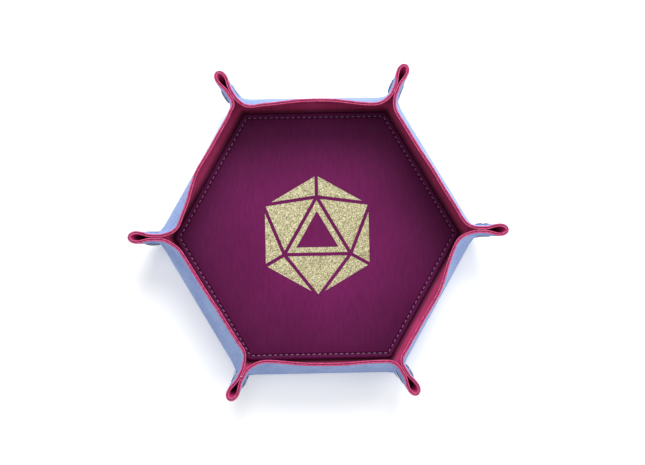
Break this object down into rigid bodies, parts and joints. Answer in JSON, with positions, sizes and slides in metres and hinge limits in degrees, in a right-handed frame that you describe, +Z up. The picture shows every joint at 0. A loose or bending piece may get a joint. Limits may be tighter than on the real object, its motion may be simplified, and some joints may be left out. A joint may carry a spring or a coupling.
{
  "type": "folding dice tray",
  "caption": "Hexagonal leatherette dice tray with a stiffened stitched floor, fold-up walls and snap fasteners that pinch its corners into looped ears.",
  "frame": {"origin": "centre of the underside, where the tray rests", "axes": "+Z up out of the open side; +X towards one corner of the hexagon; +Y square to two of its sides"},
  "size_m": [0.244, 0.2124, 0.0434],
  "materials": {
    "outer": "pebbled light blue leatherette",
    "lining": "raspberry leatherette with a slight sheen",
    "floor_panel": "smooth dark plum leatherette with a soft mottle",
    "board": "grey stiffener board",
    "thread": "pale mauve sewing thread",
    "snap_metal": "bright nickel plate"
  },
  "bodies": {
    "tray_floor": {"base_outer": "outer", "base_lining": "lining", "stiffener_board": "board", "floor_panel": "floor_panel", "needle_thread": "thread", "bobbin_thread": "thread"},
    "wall_1": {"wall_1_outer": "outer", "wall_1_lining": "lining"},
    "wall_2": {"wall_2_outer": "outer", "wall_2_lining": "lining"},
    "wall_3": {"wall_3_outer": "outer", "wall_3_lining": "lining"},
    "wall_4": {"wall_4_outer": "outer", "wall_4_lining": "lining"},
    "wall_5": {"wall_5_outer": "outer", "wall_5_lining": "lining"},
    "wall_6": {"wall_6_outer": "outer", "wall_6_lining": "lining"},
    "ear_1_cap_half": {"ear_1_cap_outer": "outer", "ear_1_cap_lining": "lining", "snap_1_cap": "snap_metal", "snap_1_socket": "snap_metal"},
    "ear_1_stud_half": {"ear_1_stud_outer": "outer", "ear_1_stud_lining": "lining", "snap_1_stud": "snap_metal"},
    "ear_2_cap_half": {"ear_2_cap_outer": "outer", "ear_2_cap_lining": "lining", "snap_2_cap": "snap_metal", "snap_2_socket": "snap_metal"},
    "ear_2_stud_half": {"ear_2_stud_outer": "outer", "ear_2_stud_lining": "lining", "snap_2_stud": "snap_metal"},
    "ear_3_cap_half": {"ear_3_cap_outer": "outer", "ear_3_cap_lining": "lining", "snap_3_cap": "snap_metal", "snap_3_socket": "snap_metal"},
    "ear_3_stud_half": {"ear_3_stud_outer": "outer", "ear_3_stud_lining": "lining", "snap_3_stud": "snap_metal"},
    "ear_4_cap_half": {"ear_4_cap_outer": "outer", "ear_4_cap_lining": "lining", "snap_4_cap": "snap_metal", "snap_4_socket": "snap_metal"},
    "ear_4_stud_half": {"ear_4_stud_outer": "outer", "ear_4_stud_lining": "lining", "snap_4_stud": "snap_metal"},
    "ear_5_cap_half": {"ear_5_cap_outer": "outer", "ear_5_cap_lining": "lining", "snap_5_cap": "snap_metal", "snap_5_socket": "snap_metal"},
    "ear_5_stud_half": {"ear_5_stud_outer": "outer", "ear_5_stud_lining": "lining", "snap_5_stud": "snap_metal"},
    "ear_6_cap_half": {"ear_6_cap_outer": "outer", "ear_6_cap_lining": "lining", "snap_6_cap": "snap_metal", "snap_6_socket": "snap_metal"},
    "ear_6_stud_half": {"ear_6_stud_outer": "outer", "ear_6_stud_lining": "lining", "snap_6_stud": "snap_metal"}
  },
  "joints": [
    {"name": "wall_1_fold", "type": "hinge", "parent": "tray_floor", "child": "wall_1", "pos_m": [0.07765, 0.04483, 0.00223], "axis": [-0.5, 0.866, 0], "range_deg": [0, 96]},
    {"name": "wall_2_fold", "type": "hinge", "parent": "tray_floor", "child": "wall_2", "pos_m": [0, 0.08966, 0.00223], "axis": [-1, 0, 0], "range_deg": [0, 96]},
    {"name": "wall_3_fold", "type": "hinge", "parent": "tray_floor", "child": "wall_3", "pos_m": [-0.07765, 0.04483, 0.00223], "axis": [-0.5, -0.866, 0], "range_deg": [0, 96]},
    {"name": "wall_4_fold", "type": "hinge", "parent": "tray_floor", "child": "wall_4", "pos_m": [-0.07765, -0.04483, 0.00223], "axis": [0.5, -0.866, 0], "range_deg": [0, 96]},
    {"name": "wall_5_fold", "type": "hinge", "parent": "tray_floor", "child": "wall_5", "pos_m": [0, -0.08966, 0.00223], "axis": [1, 0, 0], "range_deg": [0, 96]},
    {"name": "wall_6_fold", "type": "hinge", "parent": "tray_floor", "child": "wall_6", "pos_m": [0.07765, -0.04483, 0.00223], "axis": [0.5, 0.866, 0], "range_deg": [0, 96]},
    {"name": "ear_1_cap_crease", "type": "hinge", "parent": "wall_1", "child": "ear_1_cap_half", "pos_m": [0.10215, 0.00278, 0.01], "axis": [0.1698, -0.0181, -0.9853], "range_deg": [0, 58.6]},
    {"name": "ear_1_stud_crease", "type": "hinge", "parent": "wall_6", "child": "ear_1_stud_half", "pos_m": [0.10215, -0.00278, 0.01], "axis": [-0.1698, -0.0181, 0.9853], "range_deg": [0, 58.6]},
    {"name": "ear_2_cap_crease", "type": "hinge", "parent": "wall_2", "child": "ear_2_cap_half", "pos_m": [0.04866, 0.08986, 0.01], "axis": [0.1005, 0.138, -0.9853], "range_deg": [0, 58.6]},
    {"name": "ear_2_stud_crease", "type": "hinge", "parent": "wall_1", "child": "ear_2_stud_half", "pos_m": [0.05348, 0.08707, 0.01], "axis": [-0.0692, -0.1561, 0.9853], "range_deg": [0, 58.6]},
    {"name": "ear_3_cap_crease", "type": "hinge", "parent": "wall_3", "child": "ear_3_cap_half", "pos_m": [-0.05348, 0.08707, 0.01], "axis": [-0.0692, 0.1561, -0.9853], "range_deg": [0, 58.6]},
    {"name": "ear_3_stud_crease", "type": "hinge", "parent": "wall_2", "child": "ear_3_stud_half", "pos_m": [-0.04866, 0.08986, 0.01], "axis": [0.1005, -0.138, 0.9853], "range_deg": [0, 58.6]},
    {"name": "ear_4_cap_crease", "type": "hinge", "parent": "wall_4", "child": "ear_4_cap_half", "pos_m": [-0.10215, -0.00278, 0.01], "axis": [-0.1698, 0.0181, -0.9853], "range_deg": [0, 58.6]},
    {"name": "ear_4_stud_crease", "type": "hinge", "parent": "wall_3", "child": "ear_4_stud_half", "pos_m": [-0.10215, 0.00278, 0.01], "axis": [0.1698, 0.0181, 0.9853], "range_deg": [0, 58.6]},
    {"name": "ear_5_cap_crease", "type": "hinge", "parent": "wall_5", "child": "ear_5_cap_half", "pos_m": [-0.04866, -0.08986, 0.01], "axis": [-0.1005, -0.138, -0.9853], "range_deg": [0, 58.6]},
    {"name": "ear_5_stud_crease", "type": "hinge", "parent": "wall_4", "child": "ear_5_stud_half", "pos_m": [-0.05348, -0.08707, 0.01], "axis": [0.0692, 0.1561, 0.9853], "range_deg": [0, 58.6]},
    {"name": "ear_6_cap_crease", "type": "hinge", "parent": "wall_6", "child": "ear_6_cap_half", "pos_m": [0.05348, -0.08707, 0.01], "axis": [0.0692, -0.1561, -0.9853], "range_deg": [0, 58.6]},
    {"name": "ear_6_stud_crease", "type": "hinge", "parent": "wall_5", "child": "ear_6_stud_half", "pos_m": [0.04866, -0.08986, 0.01], "axis": [-0.1005, 0.138, 0.9853], "range_deg": [0, 58.6]}
  ],
  "couplings": [
    {"joint": "wall_2_fold", "follows": "wall_1_fold", "ratio": 1},
    {"joint": "wall_3_fold", "follows": "wall_1_fold", "ratio": 1},
    {"joint": "wall_4_fold", "follows": "wall_1_fold", "ratio": 1},
    {"joint": "wall_5_fold", "follows": "wall_1_fold", "ratio": 1},
    {"joint": "wall_6_fold", "follows": "wall_1_fold", "ratio": 1},
    {"joint": "ear_1_cap_crease", "follows": "wall_1_fold", "ratio": 0.61},
    {"joint": "ear_1_stud_crease", "follows": "wall_1_fold", "ratio": 0.61},
    {"joint": "ear_2_cap_crease", "follows": "wall_1_fold", "ratio": 0.61},
    {"joint": "ear_2_stud_crease", "follows": "wall_1_fold", "ratio": 0.61},
    {"joint": "ear_3_cap_crease", "follows": "wall_1_fold", "ratio": 0.61},
    {"joint": "ear_3_stud_crease", "follows": "wall_1_fold", "ratio": 0.61},
    {"joint": "ear_4_cap_crease", "follows": "wall_1_fold", "ratio": 0.61},
    {"joint": "ear_4_stud_crease", "follows": "wall_1_fold", "ratio": 0.61},
    {"joint": "ear_5_cap_crease", "follows": "wall_1_fold", "ratio": 0.61},
    {"joint": "ear_5_stud_crease", "follows": "wall_1_fold", "ratio": 0.61},
    {"joint": "ear_6_cap_crease", "follows": "wall_1_fold", "ratio": 0.61},
    {"joint": "ear_6_stud_crease", "follows": "wall_1_fold", "ratio": 0.61}
  ]
}
